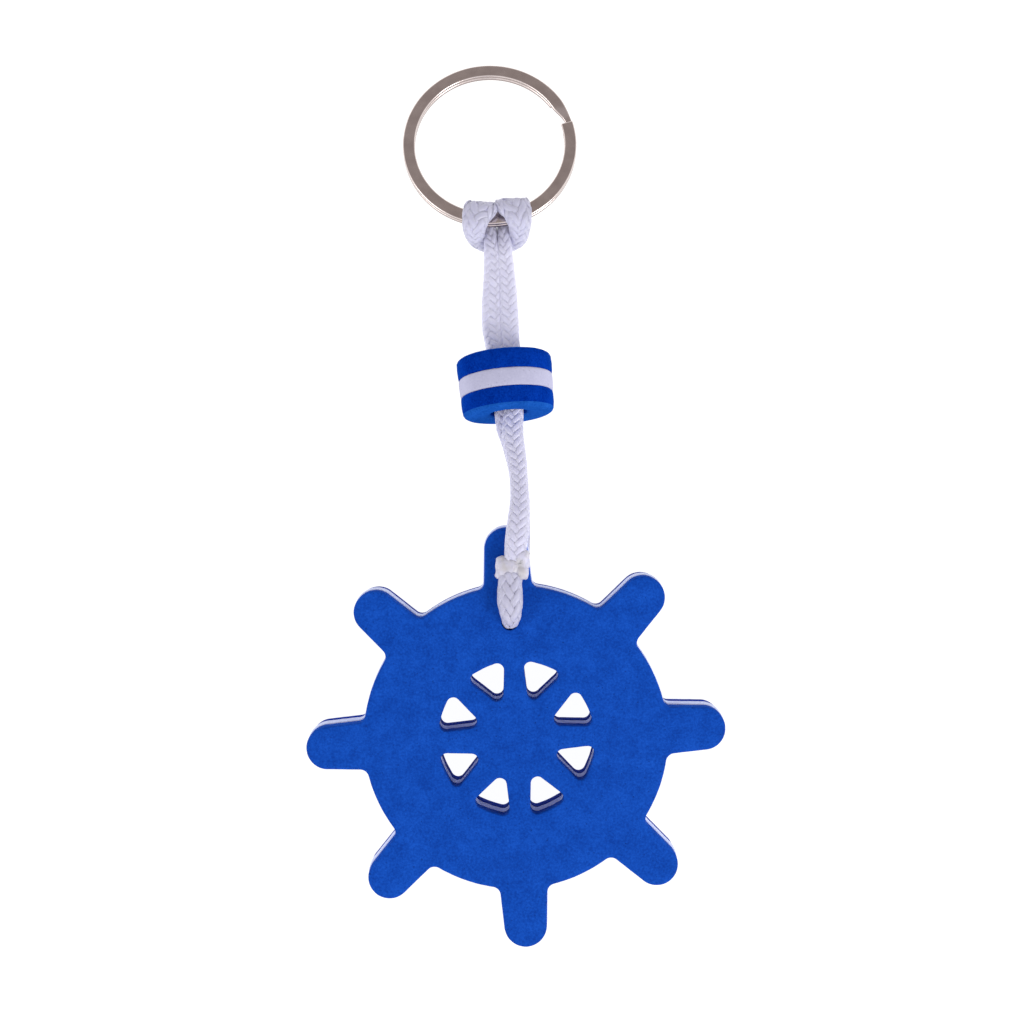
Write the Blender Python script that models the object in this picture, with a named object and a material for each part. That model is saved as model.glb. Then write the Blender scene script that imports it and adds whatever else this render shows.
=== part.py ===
# Floating keychain: a ship's-wheel float and a small bead float die-cut from one laminated foam sheet,
# a split ring, and one closed loop of braided cord that ties them together.
# It lies on its back: +Z up, +Y from the wheel towards the ring, +X to the right, metres.
# The origin is on the floor, under the middle of the foam and ring (without the cord).

import bpy
import bmesh
from math import sin, cos, tan, radians, sqrt, atan2, pi
from mathutils import Vector, Matrix

MM = 0.001

# ---------------------------------------------------------------- driving dimensions, millimetres and degrees
BLUE_T = 3.15            # each blue foam layer of the wheel
WHITE_T = 2.8            # its white foam layer
GLUE = 0.1               # glue line between two layers
FLOAT_T = 2 * BLUE_T + WHITE_T + 2 * GLUE
BEAD_LAYERS = (3.4, 2.95, 3.5)   # the bead's layers, from the wheel's side to the ring's
BEAD_T = sum(BEAD_LAYERS) + 2 * GLUE

HANDLES = 8
DISC_R = 25.85           # the wheel's rim, without its handles
TIP_R = 35.8             # to the end of a handle
HANDLE_ROOT = 4.05       # half width of a handle where it meets the rim
HANDLE_TIP = 3.65        # half width at its round end, which is also the end's radius
FILLET = 1.0             # between handle and rim
WINDOW_OUT = 13.75       # sharp corners of a window: outer pair, and its apex
WINDOW_APEX = 5.95
WINDOW_HALF = 15.5       # degrees, half the angle between the outer corners
WINDOW_ROUND = 1.15
WINDOW_BULGE = 0.25      # the outer side bows out a little
CORD_HOLE_AT = 19.8      # from the wheel's centre, along the top handle
CORD_HOLE_R = 1.75

WHEEL_TURN = 3.0         # handles turned from the axes
WHEEL_TILT = 2.9         # the cord under the top handle lifts that side
WHEEL_Y = -39.95         # centre of the wheel's back face

BEAD_R = 8.0
BEAD_BORE_R = 3.3
BEAD_ROUND = 0.5
BEAD_AT = (-1.57, 19.45)
BEAD_LEAN = 5.8          # in plan, top end to the left
BEAD_DIP = 8.8           # its top end is lower than its bottom end
BEAD_LIFT = 0.5          # the stiff doubled cord carries it just off the floor
LINE_LEAN = 4.0          # the doubled cord's own lean in plan
LINE_DIP = 4.5           # the doubled cord drops towards the ring

RING_R = 15.0            # outside
RING_BAND = 2.1          # width of the flat wire
COIL_T = 0.8             # its thickness
COIL_GAP = 0.1           # between the two coils
RING_T = 2 * COIL_T + COIL_GAP
RING_AT = (-4.5, 61.15)
RING_LIFT = 0.6          # the stiff hitch carries it just off the floor
RING_TILT = 15.0         # the hitch holds the near side up
END_A = 17.0             # where the front coil begins
END_B = 35.0             # where the back coil ends; the strip steps down between the two

HITCH_DX = 1.3           # hitch centre, right of the ring's lowest point
STRAND = 1.42            # half the spacing of the doubled cord
CORD_R = 1.27            # each strand where it is squeezed in pairs
CORD_R_FREE = 1.5        # the single strand on the wheel's front
CORD_R_FLAT = 1.15       # pressed flat under the wheel and in the hitch
CLEAR = 0.3

WELD = (5.6, 3.9, 3.3)   # fused joint: across, along, thick
WELD_AT = (-0.62, 29.6)  # on the wheel's front, in the wheel's own plane


# ---------------------------------------------------------------- small helpers
def remove_all():
    for ob in list(bpy.data.objects):
        bpy.data.objects.remove(ob, do_unlink=True)


def material(name, rgb, rough, metal=0.0):
    m = bpy.data.materials.new(name)
    m.use_nodes = True
    b = m.node_tree.nodes["Principled BSDF"]
    b.inputs["Base Color"].default_value = (*rgb, 1)
    b.inputs["Roughness"].default_value = rough
    b.inputs["Metallic"].default_value = metal
    m.diffuse_color = (*rgb, 1)
    return m


def link(name, data, mat, parent=None, loc=(0, 0, 0), rot=(0, 0, 0)):
    ob = bpy.data.objects.new(name, data)
    bpy.context.collection.objects.link(ob)
    if mat:
        data.materials.append(mat)
    ob.parent = parent
    ob.location = [c * MM for c in loc]
    ob.rotation_euler = rot
    return ob


def empty(name, loc, rot=(0, 0, 0), parent=None):
    e = bpy.data.objects.new(name, None)
    bpy.context.collection.objects.link(e)
    e.empty_display_size = 0.01
    e.parent = parent
    e.location = [c * MM for c in loc]
    e.rotation_euler = rot
    return e


def rounded(corners, radii, steps):
    """A closed outline from sharp corners, each one replaced by an arc."""
    out = []
    n = len(corners)
    for i in range(n):
        radius = radii[i]
        p, a, b = Vector(corners[i]), Vector(corners[i - 1]), Vector(corners[(i + 1) % n])
        u, v = (a - p).normalized(), (b - p).normalized()
        half = u.angle(v) / 2
        centre = p + (u + v).normalized() * (radius / sin(half))
        s, e = p + u * (radius / tan(half)) - centre, p + v * (radius / tan(half)) - centre
        a0 = atan2(s.y, s.x)
        turn = (atan2(e.y, e.x) - a0 + pi) % (2 * pi) - pi
        for k in range(steps + 1):
            t = a0 + turn * k / steps
            out.append((centre.x + radius * cos(t), centre.y + radius * sin(t)))
    return out


def wheel_outline():
    """Rim, handles with round ends, and the fillets between them, counter-clockwise."""
    slope = (HANDLE_TIP - HANDLE_ROOT) / (TIP_R - HANDLE_TIP - DISC_R)
    out_r = DISC_R + FILLET
    # the fillet's centre stands one radius off the handle's side and off the rim
    xc = DISC_R
    for _ in range(20):
        yc = HANDLE_ROOT + slope * (xc - DISC_R) + FILLET * sqrt(1 + slope * slope)
        xc = sqrt(out_r * out_r - yc * yc)
    touch = atan2(yc, xc)                       # on the rim
    half = []                                   # lower half of one handle, root to tip
    for k in range(4):
        a = touch + pi + (pi / 2 - touch + atan2(slope, 1)) * k / 3
        half.append((xc + FILLET * cos(a), yc + FILLET * sin(a)))
    tip = [(TIP_R - HANDLE_TIP + HANDLE_TIP * cos(radians(a)), HANDLE_TIP * sin(radians(a)))
           for a in range(90, 0, -15)]
    side = half + tip + [(TIP_R, 0.0)]
    handle = [(x, -y) for x, y in side] + [(x, y) for x, y in reversed(side[:-1])]
    out = []
    for k in range(HANDLES):
        a = 2 * pi * k / HANDLES
        out += [(x * cos(a) - y * sin(a), x * sin(a) + y * cos(a)) for x, y in handle]
        gap = 2 * pi / HANDLES - 2 * touch
        out += [(DISC_R * cos(a + touch + gap * j / 5), DISC_R * sin(a + touch + gap * j / 5)) for j in range(1, 5)]
    return out


def window_outlines():
    w = radians(WINDOW_HALF)
    x, y = WINDOW_OUT * cos(w), WINDOW_OUT * sin(w)
    tri = rounded([(WINDOW_APEX, 0), (x, -y), (x + WINDOW_BULGE, 0), (x, y)],
                  [WINDOW_ROUND, WINDOW_ROUND, 14.0, WINDOW_ROUND], 3)
    out = []
    for k in range(HANDLES):
        a = 2 * pi * (k + 0.5) / HANDLES
        out.append([(x * cos(a) - y * sin(a), x * sin(a) + y * cos(a)) for x, y in tri])
    return out


def hole_outline():
    return [(CORD_HOLE_AT * cos(pi / 2) + CORD_HOLE_R * cos(2 * pi * k / 16),
             CORD_HOLE_AT + CORD_HOLE_R * sin(2 * pi * k / 16)) for k in range(16)]


def sheet_mesh(name, loops, thickness):
    """A flat sheet cut to the first loop, with the other loops punched out."""
    bm = bmesh.new()
    edges = []
    for loop in loops:
        vs = [bm.verts.new((x * MM, y * MM, 0)) for x, y in loop]
        edges += [bm.edges.new((vs[i], vs[(i + 1) % len(vs)])) for i in range(len(vs))]
    bmesh.ops.triangle_fill(bm, use_beauty=True, edges=edges)
    top = bmesh.ops.extrude_face_region(bm, geom=bm.faces[:])
    bmesh.ops.translate(bm, vec=(0, 0, thickness * MM), verts=[v for v in top["geom"] if isinstance(v, bmesh.types.BMVert)])
    bmesh.ops.recalc_face_normals(bm, faces=bm.faces)
    me = bpy.data.meshes.new(name)
    bm.to_mesh(me)
    bm.free()
    return me


def turned_mesh(name, profile, segments):
    """A closed profile of (radius, height) turned round Z."""
    bm = bmesh.new()
    rings = []
    for k in range(segments):
        a = 2 * pi * k / segments
        rings.append([bm.verts.new((r * cos(a) * MM, r * sin(a) * MM, z * MM)) for r, z in profile])
    n = len(profile)
    for k in range(segments):
        for i in range(n):
            a, b = rings[k], rings[(k + 1) % segments]
            bm.faces.new((a[i], a[(i + 1) % n], b[(i + 1) % n], b[i]))
    bmesh.ops.recalc_face_normals(bm, faces=bm.faces)
    me = bpy.data.meshes.new(name)
    bm.to_mesh(me)
    bm.free()
    me.shade_smooth()
    me.set_sharp_from_angle(angle=radians(30))
    return me


# ---------------------------------------------------------------- start
remove_all()
BLUE = (0.009, 0.070, 0.445)
WHITE = (0.70, 0.70, 0.78)

# ---------------------------------------------------------------- wheel float
lift = TIP_R * sin(radians(WHEEL_TILT))
wheel = empty("wheel_float", (0, WHEEL_Y, lift), (radians(WHEEL_TILT), 0, 0))
turned = empty("wheel_turn", (0, 0, 0), (0, 0, radians(WHEEL_TURN)), wheel)
loops = [wheel_outline()] + window_outlines() + [hole_outline()]
z = 0.0
for name, t, rgb in (("wheel_rear_layer", BLUE_T, BLUE), ("wheel_core_layer", WHITE_T, WHITE), ("wheel_front_layer", BLUE_T, BLUE)):
    link(name, sheet_mesh(name, loops, t), material(name, rgb, 0.75), turned, (0, 0, z))
    z += t + GLUE


def on_wheel(u, v, w):
    """Wheel's own plane: u right, v towards the ring, w up from its back face."""
    a = radians(WHEEL_TILT)
    return (u, WHEEL_Y + v * cos(a) - w * sin(a), lift + v * sin(a) + w * cos(a))


HOLE = (-CORD_HOLE_AT * sin(radians(WHEEL_TURN)), CORD_HOLE_AT * cos(radians(WHEEL_TURN)))

# ---------------------------------------------------------------- bead float, on the doubled cord
dip, bead_dip = radians(LINE_DIP), radians(BEAD_DIP)
bead_z = BEAD_R * cos(bead_dip) + BEAD_T / 2 * sin(bead_dip) + BEAD_LIFT
# its axis points up towards the ring: lean in plan, then dip
bead = empty("bead_float", (*BEAD_AT, bead_z))
bead.rotation_euler = (Matrix.Rotation(radians(BEAD_LEAN), 3, 'Z') @ Matrix.Rotation(-pi / 2 - bead_dip, 3, 'X')).to_euler()
z = -BEAD_T / 2
for name, t, rgb in zip(("bead_lower_layer", "bead_middle_layer", "bead_upper_layer"), BEAD_LAYERS, (BLUE, WHITE, BLUE)):
    lo = BEAD_ROUND if name == "bead_lower_layer" else 0.0
    hi = BEAD_ROUND if name == "bead_upper_layer" else 0.0
    prof = [(BEAD_BORE_R, z), (BEAD_R - lo, z)]
    if lo:
        prof += [(BEAD_R - 0.3 * lo, z + 0.3 * lo), (BEAD_R, z + lo)]
    if hi:
        prof += [(BEAD_R, z + t - hi), (BEAD_R - 0.3 * hi, z + t - 0.3 * hi)]
    prof += [(BEAD_R - hi, z + t), (BEAD_BORE_R, z + t)]
    link(name, turned_mesh(name, prof, 40), material(name, rgb, 0.75), bead)
    z += t + GLUE

# ---------------------------------------------------------------- split ring
tilt = radians(RING_TILT)
mid_r = RING_R - RING_BAND / 2
ring_z = RING_R * sin(tilt) + RING_LIFT
ring = empty("split_ring_plane", (*RING_AT, ring_z), (-tilt, 0, 0))


def strip_height(turned_by):
    """Height of the strip's middle over the ring's back face, along the winding from its front end."""
    front, back = RING_T - COIL_T / 2, COIL_T / 2
    first = 360 - (END_B - END_A)
    t = min(max((turned_by - first) / (END_B - END_A), 0.0), 1.0)
    return front + (back - front) * t * t * (3 - 2 * t)


bm = bmesh.new()
total = 2 * 360 - (END_B - END_A)
steps = int(total / 6)
c, hw, ht = 0.2, RING_BAND / 2, COIL_T / 2
section = [(hw - c, -ht), (hw, -ht + c), (hw, ht - c), (hw - c, ht), (-hw + c, ht), (-hw, ht - c), (-hw, -ht + c), (-hw + c, -ht)]
rows = []
for i in range(steps + 1):
    d = total * i / steps
    a = radians(END_A - d)
    h = strip_height(d)
    rows.append([bm.verts.new(((mid_r + r) * cos(a) * MM, (mid_r + r) * sin(a) * MM, (h + s) * MM)) for r, s in section])
n = len(section)
for a, b in zip(rows, rows[1:]):
    for i in range(n):
        bm.faces.new((a[i], a[(i + 1) % n], b[(i + 1) % n], b[i]))
bm.faces.new(rows[0])
bm.faces.new(rows[-1])
bmesh.ops.recalc_face_normals(bm, faces=bm.faces)
me = bpy.data.meshes.new("split_ring")
bm.to_mesh(me)
bm.free()
me.shade_smooth()
me.set_sharp_from_angle(angle=radians(30))
link("split_ring", me, material("split_ring", (0.40, 0.37, 0.36), 0.22, 1.0), ring)


def on_hitch(across, p, q):
    """Round the ring's band at the hitch: across in X, p towards the ring's middle, q up off its plane.
    The band's own curve is followed."""
    x = HITCH_DX + across
    v = -sqrt(mid_r ** 2 - x * x) + p
    w = RING_T / 2 + q
    return (RING_AT[0] + x, RING_AT[1] + v * cos(tilt) + w * sin(tilt), ring_z - v * sin(tilt) + w * cos(tilt))


# ---------------------------------------------------------------- cord
def on_line(along, side):
    """The straight doubled stretch through the bead: along it towards the ring, and to the side."""
    lean = radians(LINE_LEAN)
    return (BEAD_AT[0] - along * cos(dip) * sin(lean) + side * cos(lean),
            BEAD_AT[1] + along * cos(dip) * cos(lean) + side * sin(lean), bead_z - along * sin(dip))


def in_pair(along, s):
    """One strand of the pair, s = -1 or 1: side by side on the ring's side of the bead, and one over the other
    where they come out on the wheel's side, with the strand to the fused joint on top."""
    t = min(max((6.5 - along) / 13.7, 0.0), 1.0)
    turn = pi / 2 * t * t * (3 - 2 * t)
    x, y, z = on_line(along, s * STRAND * cos(turn))
    return (x, y, z + s * STRAND * sin(turn))


def cord_route():
    """Centreline of the loop from one side of the fused joint to the other: (x, y, z), radius, points to the next.
    Down the wheel's front, through the hole, under the top handle, up the left strand, round the ring in a
    cow hitch, down the right strand and back over the top handle."""
    face = FLOAT_T + CLEAR + CORD_R_FREE
    low, high = WELD_AT[1] - WELD[1] / 2 - CLEAR, WELD_AT[1] + WELD[1] / 2 + CLEAR
    hx, hy = HOLE
    r0, r1, r2 = CORD_R_FREE, CORD_R, CORD_R_FLAT
    pair = (6.5, 3.0, -0.5, -4.0, -7.2)
    pts = [
        (on_wheel(-0.75, low, face), r0, 1),
        (on_wheel(-0.92, hy + 4.6, face), r0, 1),
        (on_wheel(-0.92, hy + 1.7, face - 0.1), 1.35, 2),
        (on_wheel(hx + 0.06, hy + 0.05, FLOAT_T + 0.6), 1.2, 1),
        (on_wheel(hx + 0.04, hy - 0.1, FLOAT_T - 1.6), 1.2, 2),
        (on_wheel(hx, hy, 2.4), r2, 1),
        (on_wheel(hx + 0.02, hy + 0.1, 0.1), r2, 2),
        ((-0.97, WHEEL_Y + hy + 0.95, 1.42), r2, 1),
        ((-0.80, WHEEL_Y + hy + 2.6, r2 + 0.05), r2, 2),
        ((0.15, WHEEL_Y + hy + 7.6, r2 + 0.08), r2, 2),
        ((0.85, WHEEL_Y + hy + 12.6, r2 + 0.25), r2, 1),
        ((1.10, WHEEL_Y + 35.85, 2.10), r2, 1),
        ((1.15, WHEEL_Y + 38.45, 3.55), 1.2, 1),
        ((1.00, 1.0, 5.10), r1, 2),
        ((0.25, 5.9, 7.10), r1, 1),
        ((-0.60, 9.95, 8.05), r1, 1),
    ]
    pts += [(in_pair(d, -1), r1, 1) for d in reversed(pair)]
    pts += [(on_line(d, -STRAND), r1, 1) for d in (11.5, 16.8, 22.0)]
    # the hitch: behind the band, over its inner edge, down its front, over its outer edge, to the bar behind the legs
    flat, edge, corner = RING_T / 2 + CLEAR + r2 + 0.02, RING_BAND / 2 + CLEAR + r2 + 0.02, 0.28
    bar = on_hitch(0, -edge - 0.9, 0)
    half = []
    for s in (-1, 1):
        half.append([
            (on_hitch(s * 1.38, -1.0, -flat), r2, 2),
            (on_hitch(s * 1.40, edge - 0.45, -flat + corner), r2, 2),
            (on_hitch(s * 1.75, edge, 0.0), r2, 2),
            (on_hitch(s * 2.35, edge - 0.45, flat - corner), r2, 2),
            (on_hitch(s * 3.10, 0.0, flat), r2, 2),
            (on_hitch(s * 3.70, -edge + 0.45, flat - corner), r2, 2),
            (on_hitch(s * 4.05, -edge, 0.0), r2, 2),
            ((bar[0] + s * 4.15, bar[1] + 0.35, 6.3), r2, 1),
            ((bar[0] + s * 3.75, bar[1] + 0.1, 4.5), r2, 1),
            ((bar[0] + s * 2.45, bar[1], 3.25), r2, 1),
        ])
    pts += half[0] + [((bar[0], bar[1], 2.95), r2, 1)]
    back = list(reversed(half[1]))
    pts += [(p, r, n) for (p, r, _), n in zip(back, [m for _, _, m in reversed(half[1][:-1])] + [1])]
    pts += [(on_line(d, STRAND), r1, 1) for d in (22.0, 16.8, 11.5)]
    pts += [(in_pair(d, 1), r1, 1) for d in pair]
    pts += [
        ((-0.30, 8.6, 11.5), r1, 1),
        ((0.45, 4.4, 12.35), 1.35, 2),
        ((0.66, -0.3, 13.5), 1.4, 1),
        ((0.42, -4.2, 14.6), 1.42, 1),
        (on_wheel(0.15, 33.9, face), r0, 1),
        (on_wheel(-0.02, high, face), r0, 0),
    ]
    return pts


def smooth(pts):
    """A curve through the route's points (centripetal Catmull-Rom), with each stretch's own number of steps."""
    P = [Vector((*p, r)) for p, r, _ in pts]
    P = [2 * P[0] - P[1]] + P + [2 * P[-1] - P[-2]]
    out = []
    for i, (_, _, n) in enumerate(pts[:-1]):
        a, b, c, d = P[i:i + 4]
        t0 = 0.0
        t1 = t0 + (b - a).length ** 0.5
        t2 = t1 + (c - b).length ** 0.5
        t3 = t2 + (d - c).length ** 0.5
        for k in range(n):
            t = t1 + (t2 - t1) * k / n
            e = a * ((t1 - t) / (t1 - t0)) + b * ((t - t0) / (t1 - t0))
            f = b * ((t2 - t) / (t2 - t1)) + c * ((t - t1) / (t2 - t1))
            g = c * ((t3 - t) / (t3 - t2)) + d * ((t - t2) / (t3 - t2))
            h = e * ((t2 - t) / (t2 - t0)) + f * ((t - t0) / (t2 - t0))
            j = f * ((t3 - t) / (t3 - t1)) + g * ((t - t1) / (t3 - t1))
            out.append(h * ((t2 - t) / (t2 - t1)) + j * ((t - t1) / (t2 - t1)))
    out.append(P[-2])
    return out


route = smooth(cord_route())
cu = bpy.data.curves.new("cord", 'CURVE')
cu.dimensions = '3D'
cu.bevel_depth = MM
cu.bevel_resolution = 2
cu.use_fill_caps = True
cu.twist_mode = 'MINIMUM'
sp = cu.splines.new('POLY')
sp.points.add(len(route) - 1)
for q, p in zip(sp.points, route):
    q.co = (p.x * MM, p.y * MM, p.z * MM, 1)
    q.radius = p.w
link("cord", cu, material("cord", (0.66, 0.65, 0.80), 0.6))

# ---------------------------------------------------------------- the cord's fused joint
bm = bmesh.new()
bmesh.ops.create_uvsphere(bm, u_segments=16, v_segments=10, radius=0.5 * MM)
for v in bm.verts:
    # a blunt lump: rounder than a box, fuller than a ball
    d = v.co / (0.5 * MM)
    k = (abs(d.x) ** 3 + abs(d.y) ** 3 + abs(d.z) ** 3) ** (1 / 3)
    v.co = Vector((d.x / k * WELD[0], d.y / k * WELD[1], d.z / k * WELD[2])) * 0.5 * MM
me = bpy.data.meshes.new("cord_weld")
bm.to_mesh(me)
bm.free()
me.shade_smooth()
link("cord_weld", me, material("cord_weld", (0.70, 0.68, 0.70), 0.35), wheel, (WELD_AT[0], WELD_AT[1], FLOAT_T + CLEAR + WELD[2] / 2))
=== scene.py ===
from math import sin, cos, tan, radians, sqrt, atan2, pi, exp

import bmesh
import bpy
import numpy as np
from mathutils import Matrix, Vector, noise
from mathutils.geometry import delaunay_2d_cdt


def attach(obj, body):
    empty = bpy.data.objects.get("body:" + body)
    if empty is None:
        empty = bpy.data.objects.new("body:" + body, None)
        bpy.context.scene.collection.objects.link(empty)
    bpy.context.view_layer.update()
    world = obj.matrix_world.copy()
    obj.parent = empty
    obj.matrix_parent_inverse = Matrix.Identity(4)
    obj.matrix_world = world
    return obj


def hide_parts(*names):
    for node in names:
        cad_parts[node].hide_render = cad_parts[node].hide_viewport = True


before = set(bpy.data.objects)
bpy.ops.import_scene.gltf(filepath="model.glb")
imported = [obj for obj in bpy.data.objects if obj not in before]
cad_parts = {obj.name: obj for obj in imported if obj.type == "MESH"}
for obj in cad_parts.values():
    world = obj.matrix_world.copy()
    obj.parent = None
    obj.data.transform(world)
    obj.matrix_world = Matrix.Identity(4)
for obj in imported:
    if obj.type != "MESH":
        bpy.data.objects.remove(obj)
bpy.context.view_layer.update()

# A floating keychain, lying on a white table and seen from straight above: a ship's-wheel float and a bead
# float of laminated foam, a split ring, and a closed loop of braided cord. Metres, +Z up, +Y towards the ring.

MM = 0.001

# ---------------------------------------------------------------- the CAD model's dimensions, millimetres and degrees
BLUE_T, WHITE_T, GLUE = 3.15, 2.8, 0.1
FLOAT_T = 2 * BLUE_T + WHITE_T + 2 * GLUE
BEAD_LAYERS = (3.4, 2.95, 3.5)
BEAD_T = sum(BEAD_LAYERS) + 2 * GLUE
HANDLES, DISC_R, TIP_R = 8, 25.85, 35.8
HANDLE_ROOT, HANDLE_TIP, FILLET = 4.05, 3.65, 1.5
WINDOW_OUT, WINDOW_APEX, WINDOW_HALF, WINDOW_ROUND, WINDOW_BULGE = 13.75, 5.95, 15.5, 1.15, 0.25
CORD_HOLE_AT, CORD_HOLE_R = 19.8, 1.75
WHEEL_TURN, WHEEL_TILT, WHEEL_Y = 3.0, 2.9, -39.95
BEAD_R, BEAD_BORE_R = 8.0, 3.3
BEAD_AT, BEAD_LEAN, BEAD_DIP, BEAD_LIFT = (-1.57, 19.45), 5.8, 8.8, 0.5
LINE_LEAN, LINE_DIP = 4.0, 4.5
RING_R, RING_BAND, COIL_T, COIL_GAP = 15.0, 2.1, 0.8, 0.1
RING_T = 2 * COIL_T + COIL_GAP
RING_AT, RING_LIFT, RING_TILT, END_A, END_B = (-4.5, 61.15), 0.6, 15.0, 17.0, 35.0
HITCH_DX = 1.3
WELD_AT = (-0.62, 29.6)

lift = TIP_R * sin(radians(WHEEL_TILT))
dip, bead_dip = radians(LINE_DIP), radians(BEAD_DIP)
bead_z = BEAD_R * cos(bead_dip) + BEAD_T / 2 * sin(bead_dip) + BEAD_LIFT
tilt = radians(RING_TILT)
ring_z = RING_R * sin(tilt) + RING_LIFT
mid_r = RING_R - RING_BAND / 2
HOLE = (-CORD_HOLE_AT * sin(radians(WHEEL_TURN)), CORD_HOLE_AT * cos(radians(WHEEL_TURN)))


def on_wheel(u, v, w):
    """Wheel's own plane: u right, v towards the ring, w up from its back face."""
    a = radians(WHEEL_TILT)
    return (u, WHEEL_Y + v * cos(a) - w * sin(a), lift + v * sin(a) + w * cos(a))


def on_line(along, side, up=0.0):
    """The straight doubled stretch through the bead: along it towards the ring, to the side, and up."""
    lean = radians(LINE_LEAN)
    return (BEAD_AT[0] - along * cos(dip) * sin(lean) + side * cos(lean),
            BEAD_AT[1] + along * cos(dip) * cos(lean) + side * sin(lean), bead_z - along * sin(dip) + up)


def in_pair(along, s, half=1.42):
    """One strand of the pair, s = -1 or 1: side by side on the ring's side of the bead, and nearly one over the
    other where they come out on the wheel's side, with the strand to the fused joint on top."""
    t = min(max((6.5 - along) / 20.5, 0.0), 1.0)
    turn = pi / 2 * t * t * (3 - 2 * t)
    return on_line(along, s * half * cos(turn), s * half * sin(turn))


def on_hitch(across, p, q):
    """Round the ring's band at the hitch: across in X, p towards the ring's middle, q up off its plane."""
    x = HITCH_DX + across
    v = -sqrt(mid_r ** 2 - x * x) + p
    w = RING_T / 2 + q
    return (RING_AT[0] + x, RING_AT[1] + v * cos(tilt) + w * sin(tilt), ring_z - v * sin(tilt) + w * cos(tilt))


# ---------------------------------------------------------------- camera: straight above
cam_data = bpy.data.cameras.new("camera")
cam_data.sensor_width = 36.0
cam_data.lens = 62.15
cam_data.clip_start, cam_data.clip_end = 0.01, 20.0
cam = bpy.data.objects.new("camera", cam_data)
bpy.context.scene.collection.objects.link(cam)
cam.location = (-0.645 * MM, -1.98 * MM, 311 * MM)
cam.rotation_euler = (0, 0, 0)
bpy.context.scene.camera = cam


# ---------------------------------------------------------------- node materials
def nodes_of(name):
    m = bpy.data.materials.new(name)
    m.use_nodes = True
    nt = m.node_tree
    return m, nt, nt.nodes["Principled BSDF"]


def add(nt, kind, **values):
    n = nt.nodes.new(kind)
    for k, v in values.items():
        if hasattr(n, k):
            setattr(n, k, v)
        else:
            n.inputs[k].default_value = v
    return n


def math_node(nt, op, a, b=None, clamp=False):
    n = nt.nodes.new("ShaderNodeMath")
    n.operation = op
    n.use_clamp = clamp
    for i, v in enumerate((a, b)):
        if v is None:
            continue
        if isinstance(v, (int, float)):
            n.inputs[i].default_value = v
        else:
            nt.links.new(v, n.inputs[i])
    return n.outputs[0]


def ramp(nt, source, stops):
    n = nt.nodes.new("ShaderNodeValToRGB")
    e = n.color_ramp.elements
    while len(e) < len(stops):
        e.new(0.5)
    for i, (at, rgb) in enumerate(stops):
        e[i].position = at
        e[i].color = (*rgb, 1) if len(rgb) == 3 else rgb
    nt.links.new(source, n.inputs[0])
    return n.outputs[0]


def mix_rgb(nt, fac, a, b, mode="MIX"):
    n = nt.nodes.new("ShaderNodeMix")
    n.data_type = "RGBA"
    n.blend_type = mode
    for sock, v in ((n.inputs[0], fac), (n.inputs[6], a), (n.inputs[7], b)):
        if isinstance(v, (int, float)):
            sock.default_value = v
        elif isinstance(v, tuple):
            sock.default_value = (*v, 1)
        else:
            nt.links.new(v, sock)
    return n.outputs[2]


def mm_coords(nt, scale=(1, 1, 1)):
    """Object coordinates in millimetres."""
    tc = nt.nodes.new("ShaderNodeTexCoord")
    mp = nt.nodes.new("ShaderNodeMapping")
    mp.inputs["Scale"].default_value = [1000 * s for s in scale]
    nt.links.new(tc.outputs["Object"], mp.inputs["Vector"])
    return mp.outputs[0]


def noise_tex(nt, vec, scale, detail=2.0, rough=0.5, distort=0.0):
    n = add(nt, "ShaderNodeTexNoise", Scale=scale, Detail=detail, Roughness=rough, Distortion=distort)
    nt.links.new(vec, n.inputs["Vector"])
    return n.outputs["Fac"]


def bump(nt, bsdf, height, strength, distance, before=None):
    b = add(nt, "ShaderNodeBump", Strength=strength, Distance=distance)
    nt.links.new(height, b.inputs["Height"])
    if before is not None:
        nt.links.new(before, b.inputs["Normal"])
    nt.links.new(b.outputs[0], bsdf.inputs["Normal"])
    return b.outputs[0]


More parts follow.
